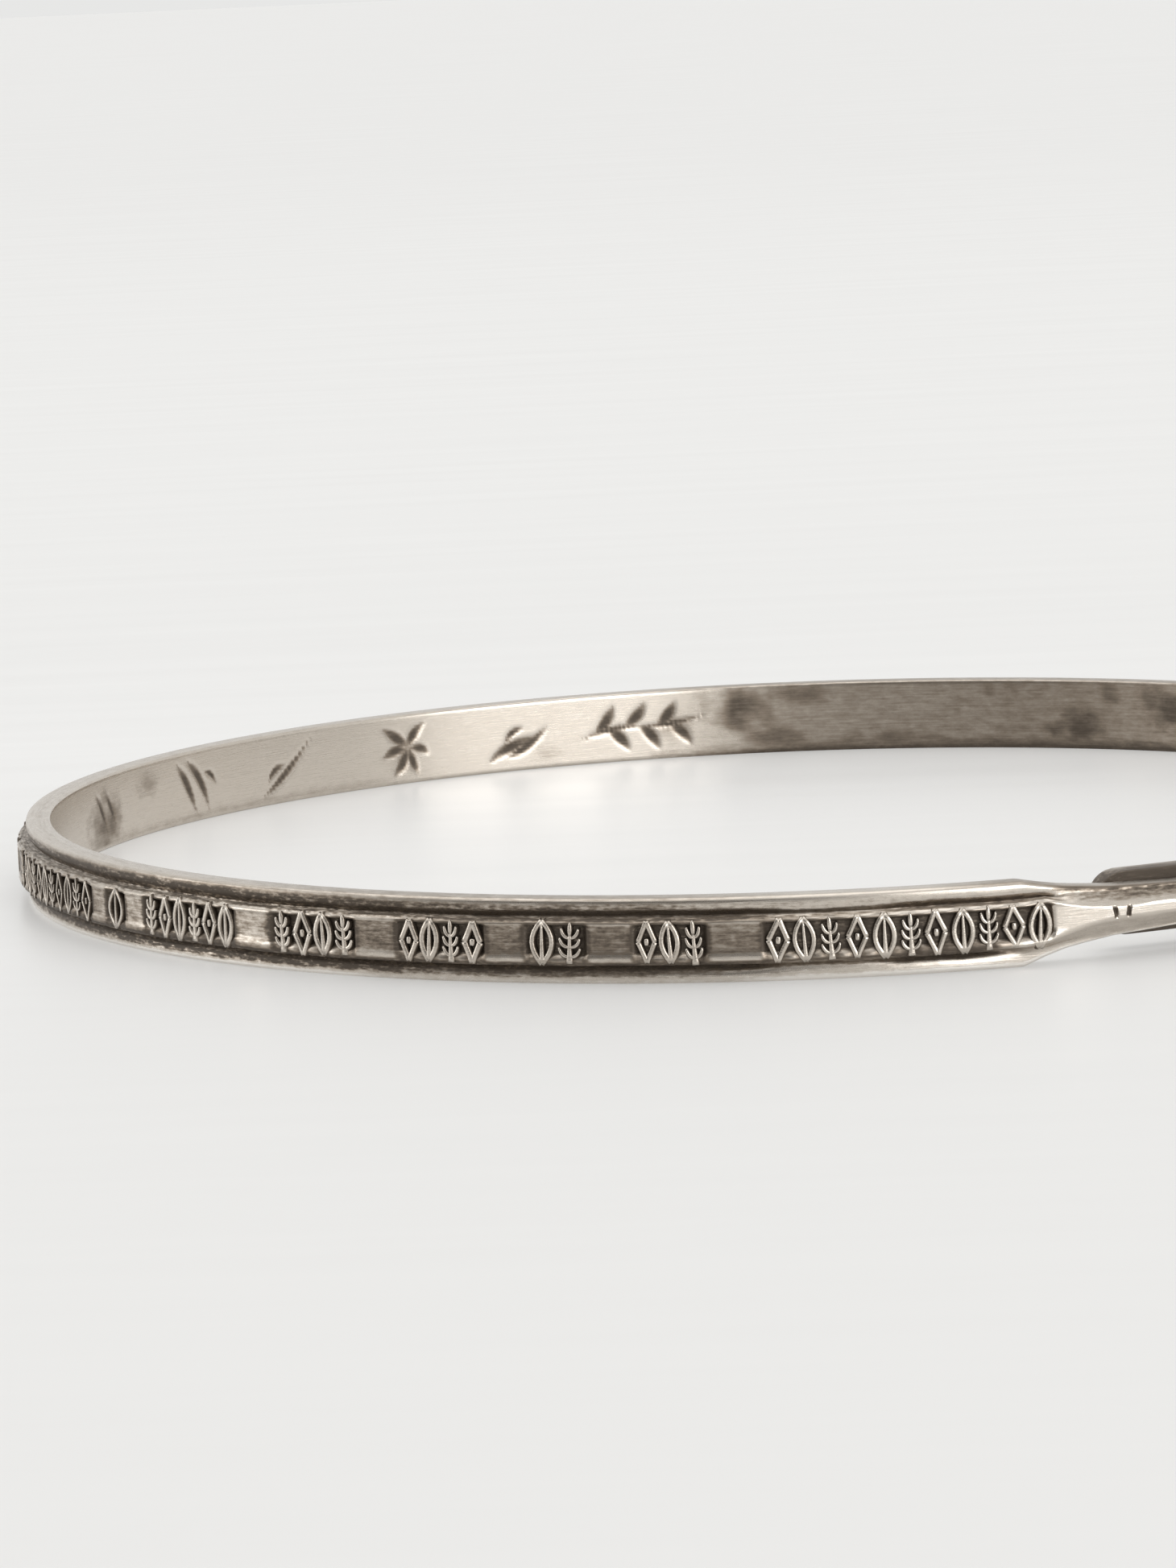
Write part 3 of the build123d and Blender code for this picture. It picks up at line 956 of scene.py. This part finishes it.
def make_silver(name):
    """Silver: darkness is age plus noise, cut by smooth steps into polished, which is also
    painted highlight, bare, dull and black."""
    material = bpy.data.materials.new(name)
    look = Look(material)
    lie = look.get("ShaderNodeAttribute", {"attribute_name": "lie"}, output=1)
    age = look.get("ShaderNodeAttribute", {"attribute_name": "age"}, output=2)
    brushed = look.noise(lie, (0.7, 20.0, 20.0), 3.0, 0.6)
    streaks = look.noise(lie, (0.6, 13.0, 13.0), 3.0, 0.6)
    blotches = look.noise(lie, (1.4, 3.2, 3.2), 4.0, 0.62)
    pits = look.noise(lie, (3.6, 9.0, 9.0), 3.0, 0.55)
    pitted = look.get("ShaderNodeAttribute", {"attribute_name": "pitted"}, output=2)
    dark = age + (blotches - 0.5) * (0.35 + pitted * 0.6)
    dark = dark + (pits - 0.5) * pitted * 1.7
    dark = dark + (streaks - 0.5) * (0.25 + pitted * 0.8)
    dull = look.ramp(dark, 0.04, 0.70)
    black = look.ramp(dark, 0.52, 0.98)
    bright = look.ramp(dark, -0.55, 0.02, 1.0, 0.0)
    colour = look.mix(bright, BARE, POLISH_AND_HIGHLIGHT)
    colour = look.mix(dull, colour, DULL)
    colour = look.mix(black, colour, BLACK)
    roughness = 0.24 + bright * 0.13 + dull * 0.14 + black * 0.16 + (brushed - 0.5) * 0.22
    bumps = brushed * 0.5 + pits * (0.1 + black * 0.6)
    bump = look.get("ShaderNodeBump", {}, {"Strength": 0.5, "Distance": 0.00002, "Height": bumps})
    shader = look.node("ShaderNodeBsdfPrincipled", {}, {
        "Base Color": colour, "Metallic": 1 - black * 0.55, "Roughness": roughness,
        "Normal": bump})
    look.node("ShaderNodeOutputMaterial", {}, {"Surface": Wire(look, shader.outputs[0])})
    return material


silver = make_silver("oxidised_silver")
for piece in (band, relief):
    piece.data.materials.append(silver)
    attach(piece, "root")
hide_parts("bangle")
print("silver nodes:", len(silver.node_tree.nodes))

# %% [markdown]
# ## The floor
#
# The bangle lies on a glossy white board. A plain white sheet is enough, with a soft gloss for
# the blurred reflection under the ring. Its colour is painted a shade lighter behind the ring and
# a shade greyer further off, as painted light and shade, and it has a painted glow that lightens
# its shadows, as a white room round it would.

# %% Floor
floor_reach = 3.0
# Painted light and shade: the board's colour is lighter just behind the ring and greyer further
# off
NEAR_WHITE = (0.463, 0.459, 0.452, 1)
MIDDLE_WHITE = (0.478, 0.476, 0.469, 1)
FAR_WHITE = (0.452, 0.449, 0.443, 1)
# Painted glow: the board gives off a little light of its own, which lightens its shadows
PAINTED_GLOW = (1.0, 0.995, 0.98, 1)
painted_glow_strength = 0.28
square = [(-1, -1, 0), (1, -1, 0), (1, 1, 0), (-1, 1, 0)]
floor_mesh = bpy.data.meshes.new("floor")
floor_mesh.from_pydata(square, [], [(0, 1, 2, 3)])
floor_mesh.transform(Matrix.Scale(floor_reach, 4))
floor = bpy.data.objects.new("floor", floor_mesh)
bpy.context.scene.collection.objects.link(floor)
board = bpy.data.materials.new("white_board")
look = Look(board)
place = look.get("ShaderNodeTexCoord", output=3)
streak = look.noise(place, (18.0, 260.0, 1.0), 3.0, 0.5)
depth = look.get("ShaderNodeSeparateXYZ", {}, {0: place}, 1)
# Painted light and shade along the board's depth
near = look.mix(look.ramp(depth, -0.05, 0.20), NEAR_WHITE, MIDDLE_WHITE)
white = look.mix(look.ramp(depth, 0.30, 0.80), near, FAR_WHITE)
shine = look.ramp(depth, -0.035, 0.0, 0.44, 0.33) + look.ramp(depth, 0.03, 0.09, 0.0, 0.10)
# The board's emission is a painted glow, not a lamp
shader = look.node("ShaderNodeBsdfPrincipled", {}, {
    "Base Color": white, "Roughness": shine + (streak - 0.5) * 0.14,
    "Emission Color": PAINTED_GLOW, "Emission Strength": painted_glow_strength})
look.node("ShaderNodeOutputMaterial", {}, {"Surface": Wire(look, shader.outputs[0])})
floor_mesh.materials.append(board)
print("floor", 2 * floor_reach, "m wide")

# %% [markdown]
# ## Camera
#
# The camera's place, aim and lens come from fitting the ring's four edges in the photograph. It
# looks down by under eight degrees, so the band is a thin ellipse, and it is rolled a little.

# %% Camera
camera_place = np.array([-0.195, -253.97, 38.07]) * MM
camera_yaw, camera_pitch, camera_roll = -0.0311, 0.1368, -0.0455
level_forward = np.array([sin(camera_yaw), cos(camera_yaw), 0])
forward = cos(camera_pitch) * level_forward - sin(camera_pitch) * np.array([0, 0, 1])
level = np.array([cos(camera_yaw), -sin(camera_yaw), 0])
over = np.cross(level, forward)
right = cos(camera_roll) * level + sin(camera_roll) * over
above = cos(camera_roll) * over - sin(camera_roll) * level
lens_data = bpy.data.cameras.new("camera")
lens_data.lens = 144.5
lens_data.sensor_width = 36
lens_data.clip_start, lens_data.clip_end = 0.01, 20
camera = bpy.data.objects.new("camera", lens_data)
axes = np.stack([right, above, -forward, camera_place], 1)
camera.matrix_world = Matrix([*axes.tolist(), [0, 0, 0, 1]])
bpy.context.scene.collection.objects.link(camera)
bpy.context.scene.camera = camera
print("camera looks down by", round(degrees(camera_pitch), 1), "degrees")

# %% [markdown]
# ## Light
#
# Silver shows what is round it. A broad soft sun overhead lights floor and rims, two side lamps
# give the long highlights at the left bend and on the bar, and the room in front stays dimmer,
# so the face of the band keeps its depth. The right lamp's light isn't thrown back by the board.


# %% Lamps and room
def lamp(name, place, aim, width, depth, power):
    """Soft rectangular lamp at a place in metres, turned to face a point."""
    data = bpy.data.lights.new(name, "AREA")
    data.shape = "RECTANGLE"
    data.size, data.size_y, data.energy = width, depth, power
    made = bpy.data.objects.new(name, data)
    made.location = place
    toward = np.array(aim, float) - place
    made.rotation_euler = Vector(toward).to_track_quat("-Z", "Y").to_euler()
    made.visible_camera = False
    bpy.context.scene.collection.objects.link(made)
    return made


lamp("left_side", (-0.60, 0.02, 0.14), (0, 0, 0), 0.30, 0.28, 0.45)
right_front = lamp("right_front", (0.395, -0.465, 0.115), (0, 0, 0), 0.52, 0.34, 1.40)
right_front.data.cycles.max_bounces = 0
sky = bpy.data.lights.new("overhead", "SUN")
sky.energy, sky.angle = 0.75, radians(70)
overhead = bpy.data.objects.new("overhead", sky)
overhead.rotation_euler = (radians(-2), radians(-8), 0)
bpy.context.scene.collection.objects.link(overhead)
DIM_SIDE = (-0.47, -0.883, 0.0)
PALE_ROOM = (0.80, 0.80, 0.79, 1)
DIM_ROOM = (0.14, 0.135, 0.13, 1)
world = bpy.data.worlds.new("room")
bpy.context.scene.world = world
look = Look(world)
sight = look.get("ShaderNodeTexCoord", output=0)
facing = look.get("ShaderNodeVectorMath", {"operation": "DOT_PRODUCT"},
                  {0: sight, 1: DIM_SIDE}, 1)
shade = look.mix(look.ramp(facing, 0.68, 0.92), PALE_ROOM, DIM_ROOM)
backdrop = look.node("ShaderNodeBackground", {}, {"Color": shade, "Strength": 1.0})
look.node("ShaderNodeOutputWorld", {}, {"Surface": Wire(look, backdrop.outputs[0])})
bpy.context.scene.view_settings.view_transform = "Standard"
